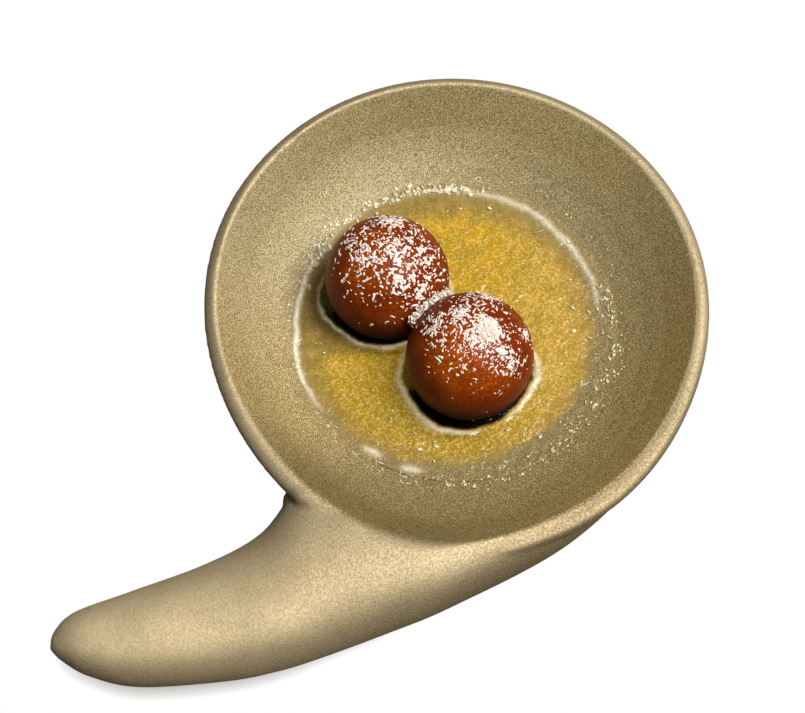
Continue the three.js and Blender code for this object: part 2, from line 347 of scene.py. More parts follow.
def in_hollow(p):
    """1 on the inside of the bowl, falling to 0 over its lip or over the flare onto the handle."""
    turned_back = unsettled(p)
    edge = flare_edge(frontness(p))[1]
    flare = flare_at(p)
    radius = turned_back.xy.length
    if turned_back.z - inside_height(min(radius, edge)) < -1.5 - flare / 2:
        return 0.0
    return 1 - smooth((radius - edge + 0.5 + flare * 0.3) / (0.7 + flare * 0.6))


def wet_ring(p):
    """1 where the syrup has wetted the wall, in an uneven band above its edge."""
    radius = p.xy.length
    broad = noise.noise(Vector((p.x, p.y, 0)) * 0.16)
    fine = noise.noise(Vector((p.x, p.y, 9)) * 0.6)
    return smooth((WET_REACH + 1.6 * broad + 0.8 * fine - radius) / 1.2) if p.z < WET_HEIGHT else 0.0


def near_notch(p):
    """1 in the crease where the handle starts from under the lip, at the left."""
    off = (p - Vector(NOTCH)) * Vector((1, 1.8, 0.5))
    return 1 - smooth((off.length - 3.5) / 3)


def make_dish(glaze):
    clay = object_from(outer_bowl(), "clay")
    handle, scoop = object_from(horn(), "handle"), object_from(hollow(), "scoop")
    web = bmesh.new()
    bmesh.ops.create_uvsphere(web, u_segments=24, v_segments=12, radius=1)
    web.transform(Matrix.Translation(NOTCH) @ Matrix.Diagonal((*WEB_SIZE, 1)))
    web = object_from(web, "web")
    table = bmesh.new()
    bmesh.ops.create_cube(table, size=400, matrix=Matrix.Translation((0, 0, -200)))
    table = object_from(table, "table")
    cut(clay, "UNION", handle)
    cut(clay, "UNION", web)
    cut(clay, "DIFFERENCE", scoop)
    cut(clay, "DIFFERENCE", table)
    fired = clay.modifiers.new("fired", "REMESH")
    fired.mode, fired.voxel_size = "VOXEL", GLAZE_VOXEL
    flow = clay.modifiers.new("flow", "SMOOTH")
    flow.factor, flow.iterations = 0.5, GLAZE_FLOW
    clay.modifiers.new("thinned", "DECIMATE").ratio = GLAZE_KEEP
    dish = with_modifiers(clay, "glazed_dish")
    for tool in (handle, web, scoop, table):
        bpy.data.objects.remove(tool)
    places = [v.co.copy() for v in dish.data.vertices]
    inside = [in_hollow(p) for p in places]
    attribute(dish.data, "hollow", inside)
    attribute(dish.data, "wet", [share * wet_ring(p) for share, p in zip(inside, places)])
    at_side = [1 - smooth((frontness(p) - 0.5) / 0.2) for p in places]
    attribute(dish.data, "crest", [4 * share * (1 - share) * side for share, side in zip(inside, at_side)])
    attribute(dish.data, "crease", [near_notch(p) for p in places])
    # Painted shade: the steep outside sides that face the front are given a darker colour.
    steep_shade = [0.3 * smooth((-v.normal.y - 0.35) / 0.45) for v in dish.data.vertices]
    attribute(dish.data, "flank_shade", [(1 - share) * under for share, under in zip(inside, steep_shade)])
    return finished(dish, glaze, "stoneware", "dish")


# ---- The balls ---------------------------------------------------------------------------------------------
GLOW_WIDTH = 0.52  # of the painted glow, the brightest part of a ball, in radians
SOAKED_AND_SHADED = 19.5  # up to this height the dough is dark with syrup and painted shade
SOAK_AND_SHADE_TOP = 24  # the dark ends here at the back of a ball
SHADE_FRONT_RISE = 8  # and this much higher at its front, where the underside is in painted shade


def make_ball(ball, neighbour, skin):
    bm = bmesh.new()
    bmesh.ops.create_icosphere(bm, subdivisions=6, radius=1)
    away = neighbour.centre - ball.centre
    flat = away.length * ball.radius / (ball.radius + neighbour.radius)
    towards = away.normalized()
    seed = Vector((ball.seed, 0, 0))
    glow, soak_and_shade = [], []
    for v in bm.verts:
        n = v.co.copy()
        lump = 0.009 * noise.noise(n * 1.1 + seed) + 0.0035 * noise.noise(n * 4 + seed)
        # A painted glow: the dough is painted lighter about the glow direction, less on a ball in shade, in
        # patches.
        bright = (1 - 0.7 * ball.in_shade) * bell(n.angle(ball.glow) / GLOW_WIDTH)
        glow.append(bright + 0.4 * noise.noise(n * 2.6 + seed))
        p = n * ball.radius * (1 + lump)
        over = p.dot(towards) - flat
        if over > 0:
            p -= towards * over
        v.co = p + ball.centre
        # Painted shade: the foot is painted dark up to a height that rises at the front, where the underside
        # is in shade; a ball in shade is also darker up its front.
        front = clamp01(-n.y)
        top = SOAK_AND_SHADE_TOP + SHADE_FRONT_RISE * front
        soaked_shaded_foot = smooth((top - v.co.z) / (top - SOAKED_AND_SHADED))
        soak_and_shade.append(max(soaked_shaded_foot, ball.in_shade * front * smooth((35 - v.co.z) / 12)))
    piece = object_from(bm, ball.name + "_skin")
    attribute(piece.data, "glow", [clamp01(share) for share in glow])
    attribute(piece.data, "soak_and_shade", soak_and_shade)
    return finished(piece, skin, "fried_dough", ball.name)


# ---- The syrup ---------------------------------------------------------------------------------------------
def off_angle(angle, middle):
    """How far an angle is from another, in degrees."""
    return abs((angle - middle + 180) % 360 - 180)


def at_angle(rows, angle):
    """The values at an angle between the rows of a table that goes round a circle."""
    after = next((row for row in rows if row[0] > angle % 360), rows[0])
    before = rows[rows.index(after) - 1]
    share = smooth((angle - before[0]) % 360 / ((after[0] - before[0]) % 360))
    return [a + share * (b - a) for a, b in zip(before[1:], after[1:])]


def uneven(p, size, seed):
    return noise.noise(Vector((p.x / size, p.y / size, seed)))


def pool_surface(p, balls):
    """The syrup's height at a point of its plan, and its looks in the order that make_syrup names them in."""
    radius = p.length
    angle = degrees_of(p)
    wobble = uneven(p, 5, 3) + 0.5 * uneven(p, 1.5, 5)
    level = (POOL_HEIGHT / settled(p.y) - FLOOR_HEIGHT) / (RIM_HEIGHT - FLOOR_HEIGHT)
    shore = RIM_RADIUS * level ** (1 / WALL_POWER)
    shore *= widened(Vector((*p.normalized(), 0)) * shore)
    off_shore = max(0.0, shore - radius)
    height = POOL_HEIGHT + 0.25 * wobble + 0.1 * uneven(p, 2.2, 8)
    # The shore line: partly bubbles, partly a painted highlight where the syrup curves up.
    line_radius, width, strength = at_angle(SHORE_FROTH, angle)
    line = bell((radius - line_radius + 0.5 * wobble) / (width + 0.25 * uneven(p, 3, 2)))
    ragged = 0.95 + 0.5 * uneven(p, 1.3, 4)
    froth_and_gleam = strength * line * ragged
    height += 0.4 * strength * line
    # Painted highlights: two pale patches on the syrup's edge, where it would catch the light.
    for middle in EDGE_GLEAMS:
        along_edge = off_angle(angle, middle) / 3.6
        froth_and_gleam = max(froth_and_gleam, 0.65 * math.exp(-(along_edge**4) - ((off_shore - 2.2 + 0.6 * wobble) / 1.0) ** 2))
    shade = through = 0.0
    for ball, glows in zip(balls, (False, True)):
        to_ball = p - ball.centre.xy
        towards = degrees_of(to_ball)
        ring_radius, width, strength = at_angle(ball.froth_and_gleam, towards)
        off_ring = to_ball.length - ring_radius - 0.45 * wobble
        width = max(0.3, (0.5 if off_ring < 0 else width) + 0.35 * uneven(p, 1.6, 6))
        ring = bell(off_ring / width)
        # The ring round the ball: partly bubbles, partly a painted highlight.
        foam_and_gleam = strength * ring * ragged
        froth_and_gleam = max(froth_and_gleam, foam_and_gleam)
        height += 0.5 * strength * ring + 1.2 * math.exp(-max(0.0, to_ball.length - 13.2) / 1.2)
        at_front = 1 - smooth((off_angle(towards, 265) - 14) / 12)
        outline = 0.25 * at_front * bell((off_ring - 1.8) / 0.9)
        open_side = 1 - 0.45 * (1 - smooth((off_angle(towards, 175) - 12) / 14))
        behind = 1 - 0.5 * (1 - smooth((off_angle(towards, 90) - 62) / 20))
        shade = max(shade, open_side * behind * smooth((-0.6 - off_ring) / 0.8), outline)
        # Painted glow: where a ball hides the key light, the syrup is later made to glow, which lifts the
        # ball's shadow; by the left ball only its pale ring glows.
        up = Vector((-to_ball.x, -to_ball.y, ball.centre.z - POOL_HEIGHT))
        hidden = smooth((math.asin(min(1.0, ball.radius / up.length)) + 0.2 - up.angle(TO_KEY)) / 0.4)
        through = max(through, hidden * (1.0 if glows else clamp01(foam_and_gleam)))
    towards_line = max(0.0, math.cos(math.radians(angle - 45))) ** 6
    gold_reach = GOLD_REACH + 3.5 * math.cos(math.radians(angle + 120)) + 1.5 * towards_line
    thick_unshaded = smooth((gold_reach + 1.6 * wobble - radius) / 11 + 0.5)
    # Painted shade and dark reflection: at the left of the pool, beside the left ball, the syrup is given the
    # dull olive of thin syrup.
    painted_dark_left = 1 - smooth((off_angle(angle, 170) - 18 + 3 * wobble) / 14)
    film_reach = FILM_REACH + 3.5 * math.cos(math.radians(angle - 185))
    film = smooth((film_reach + 1.2 * wobble - radius) / 4 + 0.5)
    left_shore = 1 - smooth((off_angle(angle, 172) - 16) / 10)
    shade = max(shade, 0.28 * left_shore * smooth(radius - line_radius - 0.8))
    return height, clamp01(froth_and_gleam), thick_unshaded * (1 - 0.8 * painted_dark_left), shade, film, through * (1 - shade)


def make_syrup(balls, material):
    step = POOL_REACH / POOL_RINGS
    bottom = [(0, FLOOR_HEIGHT - 0.4)] + [beside_wall(r, 0.4) for r in range(6, 53, 3)]
    surface = [(i * step, POOL_HEIGHT) for i in range(POOL_RINGS, -1, -1)]
    bm = turned(bottom + surface, POOL_STEPS)
    looks = {"froth_and_gleam": [], "thick_unshaded": [], "shade": [], "film": [], "through": []}
    for v in bm.verts:
        on_top = abs(v.co.z - POOL_HEIGHT) < 1e-4
        height, *look = pool_surface(v.co.xy, balls)
        v.co.z = height if on_top else v.co.z * settled(v.co.y)
        for values, value in zip(looks.values(), look):
            values.append(value if on_top else 0.0)
    piece = object_from(bm, "syrup_pool")
    for name, values in looks.items():
        attribute(piece.data, name, values)
    return finished(piece, material, "sugar_syrup", "syrup")


# ---- Scattered things --------------------------------------------------------------------------------------
def shred_shapes(count, rng):
    """A few coconut shreds of a length of 1, each thin, bent and torn in its own way."""
    shapes = []
    for k in range(count):
        bm = bmesh.new()
        bmesh.ops.create_cube(bm, size=1, matrix=Matrix.Diagonal((1, 0.3, 0.13, 1)))
        long_edges = [e for e in bm.edges if abs(e.verts[0].co.x - e.verts[1].co.x) > 0.5]
        bmesh.ops.subdivide_edges(bm, edges=long_edges, cuts=3)
        bend, twist = rng.uniform(-0.3, 0.3), rng.uniform(-0.8, 0.8)
        for v in bm.verts:
            x = v.co.x
            taper = 1 - 1.5 * abs(x) ** 2 * rng.uniform(0.6, 1)
            v.co.yz *= taper * rng.uniform(0.8, 1.1)
            v.co = Quaternion((1, 0, 0), twist * x) @ v.co
            v.co.y += bend * x * x
            v.co.z += 0.25 * x * x * math.sin(k)
        mesh = bpy.data.meshes.new("shred_shape")
        bm.to_mesh(mesh)
        bm.free()
        shapes.append(mesh)
    return shapes


def joined(name, shapes, places):
    """One mesh of many copies. Each place is the number of a shape and a matrix."""
    bm = bmesh.new()
    for which, matrix in places:
        copy = shapes[which % len(shapes)].copy()
        copy.transform(matrix)
        bm.from_mesh(copy)
        bpy.data.meshes.remove(copy)
    return object_from(bm, name)


def on_ball(ball, direction, lift, spin, size, rng):
    """The matrix of a thing of a size that lies on a ball, square to a direction from its centre."""
    lie = Vector((0, 0, 1)).rotation_difference(direction)
    tilt = Quaternion((rng.uniform(-1, 1), rng.uniform(-1, 1), 0), rng.uniform(0, 0.35))
    turn = lie @ Quaternion((0, 0, 1), spin) @ tilt
    place = ball.centre + direction * (ball.radius + lift)
    return Matrix.Translation(place) @ turn.to_matrix().to_4x4() @ Matrix.Diagonal((*size, 1))


def direction_near(middle, spread, rng):
    """A random direction about a middle one, spread in radians like a bell, and how near it is, up to 1."""
    tilt, round_ = abs(rng.gauss(0, spread)), rng.uniform(0, 2 * math.pi)
    lean = Vector((math.sin(tilt) * math.cos(round_), math.sin(tilt) * math.sin(round_), math.cos(tilt)))
    return Vector((0, 0, 1)).rotation_difference(middle) @ lean, bell(tilt / spread)


def shred_size(rng, scale):
    length = scale * min(4.0, max(0.8, rng.lognormvariate(0.55, 0.42)))
    return length, rng.uniform(1.8, 4.0) * scale, rng.uniform(1.2, 2.4) * scale


def dust_size(rng):
    return [rng.uniform(low, high) for low, high in ((0.35, 0.95), (0.8, 1.4), (0.8, 1.4))]


# Where coconut fell, for each ball: the middle direction, the spread, how many shreds, how many grains of
# dust, how high it lies and how long its shreds are.
SHOWERS = (
    (
        ((0.1, 0.0, 1), 0.62, 130, 220, 0.2, 0.76),
        ((0.15, -0.45, 0.85), 0.42, 76, 120, 0.2, 0.76),
        ((0.02, 0.62, 0.78), 0.38, 70, 110, 0.2, 0.76),
        ((0.62, -0.1, 0.78), 0.4, 60, 100, 0.2, 0.76),
        ((-0.42, -0.1, 0.9), 0.38, 46, 80, 0.2, 0.78),
        ((0.5, -0.62, 0.6), 0.18, 24, 40, 0.3, 0.7),
    ),
    (
        ((0.26, 0, 0.96), 0.12, 220, 560, 1.3, 0.62),
        ((0.24, -0.02, 0.96), 0.26, 100, 240, 0.6, 0.72),
        ((0.46, -0.3, 0.83), 0.26, 66, 100, 0.4, 0.7),
        ((0.02, -0.2, 0.97), 0.3, 44, 70, 0.2, 0.7),
        ((-0.15, 0.32, 0.93), 0.34, 76, 140, 0.3, 0.72),
        ((-0.55, 0.13, 0.82), 0.24, 50, 70, 0.3, 0.7),
        ((0.3, 0.7, 0.64), 0.3, 45, 60, 0.25, 0.7),
        ((0.58, -0.46, 0.66), 0.27, 46, 70, 0.2, 0.66),
        ((0.82, 0.15, 0.5), 0.22, 24, 30, 0.2, 0.66),
        ((-0.1, -0.5, 0.8), 0.35, 16, 40, 0.1, 0.6),
    ),
)
DRIFT_SHREDS = 680


def make_coconut(balls, material):
    rng = random.Random(7)
    shapes = shred_shapes(8, rng)
    shreds, dust = [], []
    for ball, other, showers in zip(balls, reversed(balls), SHOWERS):
        for middle, spread, shred_count, dust_count, lift, scale in showers:
            for k in range(shred_count + dust_count):
                direction, near = direction_near(Vector(middle).normalized(), spread, rng)
                if (ball.centre + direction * ball.radius - other.centre).length < other.radius + 0.4:
                    continue
                whole = k < shred_count
                size = shred_size(rng, scale) if whole else dust_size(rng)
                height = rng.uniform(0, lift) * near
                place = on_ball(ball, direction, height, rng.uniform(0, 6.3), size, rng)
                (shreds if whole else dust).append((rng.randrange(8), place))

    # The drift in the groove between the balls.
    left, right = balls
    middle = (left.centre + right.centre) / 2
    axis = (right.centre - left.centre).normalized()
    groove = Vector((0, 0, 1)).cross(axis).normalized()
    half = (right.centre - left.centre).length / 2
    radius = (left.radius + right.radius) / 2
    for _ in range(DRIFT_SHREDS):
        t, bed = rng.uniform(-7.5, 9.5), rng.uniform(0.1, 1.9)
        rise = (radius + bed) ** 2 - half**2 - t * t
        if rise < 0:
            continue
        place = middle + groove * t + axis * rng.uniform(-bed, bed) * 0.6
        place.z += math.sqrt(rise)
        turn = Quaternion([rng.gauss(0, 1) for _ in range(4)]).normalized()
        size = shred_size(rng, 0.58)
        stretch = turn.to_matrix().to_4x4() @ Matrix.Diagonal((*size, 1))
        shreds.append((rng.randrange(8), Matrix.Translation(place) @ stretch))
    finished(joined("coconut_shreds", shapes, shreds), material, "fried_dough")
    finished(joined("coconut_dust", shapes, dust), material, "fried_dough")
    for shape in shapes:
        bpy.data.meshes.remove(shape)


def wall_place(angle, radius):
    """The point of the inside wall at an angle in radians and a radius, and the wall's normal there."""
    p = Vector((radius * math.cos(angle), radius * math.sin(angle), inside_height(radius)))
    lean = math.atan(inside_slope(radius))
    normal = Vector((-math.sin(lean) * math.cos(angle), -math.sin(lean) * math.sin(angle), math.cos(lean)))
    settle(p)
    return p, normal


# Bubbles and drops near the syrup's edge: the middle and the spread of their angle, the same of their radius,
# how many there are, and the smallest and the largest.
BEADS = (
    (93, 9, 48.1, 0.7, 64, 0.25, 0.8),
    (116, 9, 49.4, 0.9, 46, 0.25, 0.8),
    (140, 10, 50.8, 1.0, 46, 0.25, 0.7),
    (151, 6, 49.7, 0.9, 26, 0.4, 0.85),
    (168, 12, 51.6, 1.0, 34, 0.2, 0.45),
    (6, 8, 48.3, 1.3, 34, 0.2, 0.6),
    (-16, 9, 50.4, 1.7, 40, 0.2, 0.6),
    (-44, 9, 49.8, 1.6, 34, 0.2, 0.6),
    (-80, 12, 52.2, 0.7, 30, 0.2, 0.45),
    (-115, 14, 51.6, 0.7, 30, 0.2, 0.45),
    (-20, 60, 41, 3.5, 14, 0.35, 0.7),
    (-110, 30, 41, 3, 9, 0.35, 0.7),
)
DRIED_SPECKS = 240  # all round the wall
BEAD_FLATNESS = 0.6


def make_beads(material):
    """Bubbles along the syrup's edge, and drops and dried specks of syrup on the wall above it."""
    rng = random.Random(23)
    shapes = []
    for k in range(4):
        bm = bmesh.new()
        bmesh.ops.create_icosphere(bm, subdivisions=2, radius=1)
        for v in bm.verts:
            v.co *= 1 + 0.45 * noise.noise(v.co * 1.3 + Vector((7 * k, 0, 0)))
        shapes.append(bpy.data.meshes.new("bead_shape"))
        bm.to_mesh(shapes[-1])
        bm.free()
    places = []

    def drop(angle, radius, size):
        place, normal = wall_place(math.radians(angle), radius)
        place.z = max(place.z, POOL_HEIGHT + 0.2)
        spin = Quaternion((0, 0, 1), rng.uniform(0, 2 * math.pi))
        turn = Vector((0, 0, 1)).rotation_difference(normal) @ spin
        length, width = size * rng.uniform(0.8, 1.9), size * rng.uniform(0.6, 1.1)
        stretch = Matrix.Diagonal((length, width, size * BEAD_FLATNESS, 1))
        places.append((rng.randrange(4), Matrix.Translation(place) @ turn.to_matrix().to_4x4() @ stretch))

    for middle, spread, radius, off, count, small, large in BEADS:
        for _ in range(count):
            drop(rng.gauss(middle, spread), rng.gauss(radius, off), rng.uniform(small, large))
    for _ in range(DRIED_SPECKS):
        drop(rng.uniform(0, 360), rng.gauss(53.3, 0.8), rng.uniform(0.12, 0.34))
    piece = joined("syrup_beads", shapes, places)
    for shape in shapes:
        bpy.data.meshes.remove(shape)
    return finished(piece, material, "sugar_syrup")


# ---- Materials ---------------------------------------------------------------------------------------------
def paint(red, green, blue):
    """A colour from 0 to 255, as light."""
    channels = [c / 255 for c in (red, green, blue)]
    return (*[c / 12.92 if c <= 0.04045 else ((c + 0.055) / 1.055) ** 2.4 for c in channels], 1)


class Finish:
    """A material and short calls to add nodes to it."""

    def __init__(self, name, tree=None):
        if tree is None:
            self.material = bpy.data.materials.new(name)
            self.material.use_nodes = True
            tree = self.material.node_tree
            tree.nodes.clear()
        self.tree = tree

    def feed(self, socket, value):
        """Sets an input to a value, or joins it to another socket."""
        if isinstance(value, bpy.types.NodeSocket):
            self.tree.links.new(value, socket)
        else:
            socket.default_value = value

    def add(self, kind, inputs=None, **settings):
        """A node with its settings, and its inputs set to values or joined to sockets."""
        made = self.tree.nodes.new("ShaderNode" + kind)
        for key, value in settings.items():
            setattr(made, key, value)
        for key, value in (inputs or {}).items():
            self.feed(made.inputs[key], value)
        return made

    def math(self, operation, a, b, c=0.0):
        return self.add("Math", {0: a, 1: b, 2: c}, operation=operation).outputs[0]

    def mix(self, share, a, b, blend="MIX"):
        made = self.add("Mix", data_type="RGBA", blend_type=blend)
        for key, value in ((0, share), (6, a), (7, b)):  # the inputs for colours
            self.feed(made.inputs[key], value)
        return made.outputs[2]

    def group(self, group, **inputs):
        made = self.add("Group", node_tree=group)
        for key, value in inputs.items():
            self.feed(made.inputs[key.capitalize()], value)
        return made

    def surface(self, **inputs):
        shader = self.add("BsdfPrincipled")
        for key, value in inputs.items():
            self.feed(shader.inputs[key.replace("_", " ").title().replace("Ior", "IOR")], value)
        output = self.add("OutputMaterial")
        self.tree.links.new(shader.outputs[0], output.inputs["Surface"])
        return self.material


def mottle_group():
    """Specks of two sizes and soft clouds, all from 0 to 1 about 0.5. Sizes are in millimetres."""
    tree = bpy.data.node_groups.new("mottle", "ShaderNodeTree")
    for name, kind in (("Vector", "Vector"), ("Speck", "Float"), ("Cloud", "Float")):
        tree.interface.new_socket(name, in_out="INPUT", socket_type="NodeSocket" + kind)
    for name in ("Specks", "Grains", "Clouds"):
        tree.interface.new_socket(name, in_out="OUTPUT", socket_type="NodeSocketFloat")
    build = Finish("mottle", tree)
    source = tree.nodes.new("NodeGroupInput")
    result = tree.nodes.new("NodeGroupOutput")

    def spots(size, detail, ratio):
        scale = build.math("DIVIDE", ratio / MM, size)
        texture = build.add(
            "TexNoise",
            {"Vector": source.outputs["Vector"], "Scale": scale, "Detail": detail, "Roughness": 0.6},
        )
        return texture.outputs[0]

    for name, value, low in (
        ("Specks", spots(source.outputs["Speck"], 2.0, 1), 0.34),
        ("Grains", spots(source.outputs["Speck"], 1.0, 2.4), 0.36),
        ("Clouds", spots(source.outputs["Cloud"], 3.0, 1), 0.3),
    ):
        stretched = build.add("MapRange", {0: value, 1: low, 2: 1 - low}, clamp=True).outputs[0]
        tree.links.new(stretched, result.inputs[name])
    return tree


def glaze_material(mottle):
    f = Finish("speckled_khaki_glaze")
    place = f.add("TexCoord").outputs["Object"]
    spots = f.group(mottle, vector=place, speck=0.75, cloud=16.0)
    inside, wet, crest, crease, flank_shade = (
        f.add("Attribute", attribute_name=name).outputs["Fac"]
        for name in ("hollow", "wet", "crest", "crease", "flank_shade")
    )
    side = f.add("SeparateXYZ", {0: place})
    to_front = f.add("MapRange", {0: side.outputs["Y"], 1: 0.01, 2: -0.06}, clamp=True).outputs[0]
    along_handle = f.math("ADD", side.outputs["X"], side.outputs["Y"])
    to_tip = f.add("MapRange", {0: along_handle, 1: -0.12, 2: -0.17}, clamp=True).outputs[0]
    # The colour of the glaze: inside, with painted shade that darkens it towards the front;
    # outside, paler towards the handle's tip.
    hollow = f.mix(to_front, paint(158, 137, 90), paint(112, 97, 56))
    outside = f.mix(to_tip, paint(178, 160, 126), paint(218, 198, 158))
    # Painted shade: the outside is painted darker at the lower right, where the key light falls strongest.
    to_low_right = f.math("SUBTRACT", side.outputs["X"], side.outputs["Y"])
    shade_low_right = f.add("MapRange", {0: to_low_right, 1: 0.085, 2: 0.103}, clamp=True).outputs[0]
    outside = f.mix(shade_low_right, outside, paint(140, 124, 94))
    # Painted shade on the steep sides of the outside that face the front.
    outside = f.mix(flank_shade, outside, paint(92, 79, 54))
    body = f.mix(inside, outside, hollow)
    # Soft patches, dark specks and light grains.
    patches = f.add("MapRange", {0: inside, 3: 0.3, 4: 0.4}).outputs[0]
    clouded = f.mix(f.math("MULTIPLY", spots.outputs["Clouds"], patches), body, paint(134, 110, 68))
    strength = f.add("MapRange", {0: inside, 3: 0.35, 4: 0.85}).outputs[0]
    specked = f.mix(f.math("MULTIPLY", spots.outputs["Specks"], strength), clouded, paint(90, 72, 38))
    light = f.math("POWER", spots.outputs["Grains"], 2.0)
    grained = f.mix(f.math("MULTIPLY", light, strength), specked, paint(238, 219, 170))
    # Painted light and shade on the inside by place: low or high on the wall, left or right, back or front,
    # darkest at the front left; towards the front it is also tinted ochre.
    up_wall = f.add("MapRange", {0: side.outputs["Z"], 1: 0.017, 2: 0.024}, clamp=True).outputs[0]
    to_right = f.add("MapRange", {0: side.outputs["X"], 1: -0.01, 2: 0.05}, clamp=True).outputs[0]
    off_middle = f.add("MapRange", {0: f.math("ABSOLUTE", side.outputs["Y"], 0), 1: 0.0, 2: 0.06}, clamp=True)
    upper = f.mix(off_middle.outputs[0], (0.77, 0.77, 0.77, 1), (0.62, 0.61, 0.55, 1))
    upper = f.mix(to_right, upper, (0.97, 0.97, 0.87, 1))
    tone = f.mix(up_wall, f.mix(to_right, (0.75, 0.75, 0.73, 1), (0.62, 0.62, 0.57, 1)), upper)
    to_ochre = f.add("MapRange", {0: side.outputs["Y"], 1: 0.02, 2: -0.03}, clamp=True).outputs[0]
    ochre_and_shade = f.mix(to_ochre, tone, (1.07, 0.99, 0.77, 1), "MULTIPLY")
    at_front = f.add("MapRange", {0: side.outputs["Y"], 1: -0.035, 2: -0.055}, clamp=True).outputs[0]
    at_front = f.math("MULTIPLY", at_front, f.math("SUBTRACT", 1.0, to_right))
    ochre_and_shade = f.mix(at_front, ochre_and_shade, (0.7, 0.7, 0.7, 1), "MULTIPLY")
    toned = f.mix(inside, grained, ochre_and_shade, "MULTIPLY")
    # The crest of the lip, partly glaze thin on its edge and partly a painted highlight; the wet band; and
    # painted shade in the crease by the notch.
    # A painted highlight on the pale crest of the lip, partly glaze thinning on its edge, stronger at the
    # right.
    crest_strength = f.math("MULTIPLY_ADD", to_right, 0.28, 0.12)
    crested = f.mix(f.math("MULTIPLY", crest, crest_strength), toned, paint(236, 221, 190))
    wetted = f.mix(f.math("MULTIPLY", wet, 0.22), crested, paint(104, 86, 44))
    # Painted shade in the crease where the handle starts from under the lip.
    notch_shaded = f.mix(f.math("MULTIPLY", crease, 0.5), wetted, paint(84, 88, 66))
    rough = f.add("MapRange", {0: spots.outputs["Specks"], 3: 0.62, 4: 0.72}).outputs[0]
    gloss = f.add("MapRange", {0: wet, 3: 1.0, 4: 0.92}).outputs[0]
    metallic = f.add("MapRange", {0: inside, 3: 0.75, 4: 0.2}).outputs[0]
    bump = f.add("Bump", {"Height": spots.outputs["Specks"], "Strength": 0.15, "Distance": 0.0002})
    return f.surface(
        base_color=notch_shaded,
        roughness=f.math("MULTIPLY", rough, gloss),
        metallic=metallic,
        normal=bump.outputs[0],
    )


def syrup_material(mottle):
    f = Finish("golden_sugar_syrup")
    place = f.add("TexCoord").outputs["Object"]
    spots = f.group(mottle, vector=place, speck=1.9, cloud=5.5)
    froth_and_gleam, thick_unshaded, shade, film, through = (
        f.add("Attribute", attribute_name=name).outputs["Fac"]
        for name in ("froth_and_gleam", "thick_unshaded", "shade", "film", "through")
    )
    side = f.add("SeparateXYZ", {0: place})
    to_front = f.add("MapRange", {0: side.outputs["Y"], 1: -0.005, 2: -0.03}, clamp=True).outputs[0]
    to_right = f.add("MapRange", {0: side.outputs["X"], 1: 0.01, 2: 0.035}, clamp=True).outputs[0]
    gold = f.mix(to_front, paint(173, 129, 12), paint(141, 109, 24))
    gold = f.mix(to_right, gold, paint(167, 130, 62))
    gold = f.mix(f.math("MULTIPLY", spots.outputs["Clouds"], 0.9), gold, paint(130, 108, 24))
    olive = f.mix(spots.outputs["Clouds"], paint(136, 114, 60), paint(104, 88, 44))
    # Golden where the syrup is thick, olive where it is thin and in the painted dark patch at the left.
    body = f.mix(thick_unshaded, olive, gold)
    specked = f.mix(f.math("MULTIPLY", spots.outputs["Specks"], 0.28), body, paint(124, 98, 24))
    light = f.math("POWER", spots.outputs["Grains"], 2.0)
    glint = f.math("MULTIPLY", light, f.math("MULTIPLY_ADD", thick_unshaded, 0.2, 0.1))
    grained = f.mix(glint, specked, paint(232, 200, 110))
    # Near its shore the syrup is so thin that the speckled glaze shows, paler towards 140 degrees.
    sand = f.group(mottle, vector=place, speck=0.85, cloud=16.0)
    away = f.math("MULTIPLY_ADD", side.outputs["X"], -0.766, f.math("MULTIPLY", side.outputs["Y"], 0.643))
    tone = f.add("MapRange", {0: away, 1: -0.05, 2: 0.05}, clamp=True).outputs[0]
    bare = f.mix(tone, paint(92, 78, 46), paint(140, 120, 80))
    bare = f.mix(f.math("MULTIPLY", sand.outputs["Specks"], 0.6), bare, paint(96, 80, 46))
    light = f.math("POWER", sand.outputs["Grains"], 2.0)
    bare = f.mix(f.math("MULTIPLY", light, 0.45), bare, paint(178, 158, 112))
    seen = f.mix(film, bare, grained)
    shaded = f.mix(shade, seen, paint(14, 10, 4))
    # Pale froth and painted highlight: bubbly cream along the shore lines and the rings round the balls.
    bubbles = f.add("MapRange", {0: sand.outputs["Specks"], 3: 1.1, 4: 0.7}).outputs[0]
    frothed_and_gleaming = f.mix(f.math("MULTIPLY", froth_and_gleam, bubbles), shaded, paint(214, 206, 180))
    # Painted glow: the syrup gives off light where a ball hides it from the key light.
    painted_glow = f.math("MULTIPLY", through, 0.6)
    bump = f.add("Bump", {"Height": spots.outputs["Specks"], "Strength": 0.4, "Distance": 0.0004})
    return f.surface(
        base_color=frothed_and_gleaming,
        roughness=f.add("MapRange", {0: froth_and_gleam, 3: 0.16, 4: 0.4}).outputs[0],
        specular_ior_level=0.22,
        coat_weight=0.1,
        coat_roughness=0.08,
        emission_color=f.mix(painted_glow, (0, 0, 0, 1), frothed_and_gleaming),
        emission_strength=1.0,
        normal=bump.outputs[0],
    )


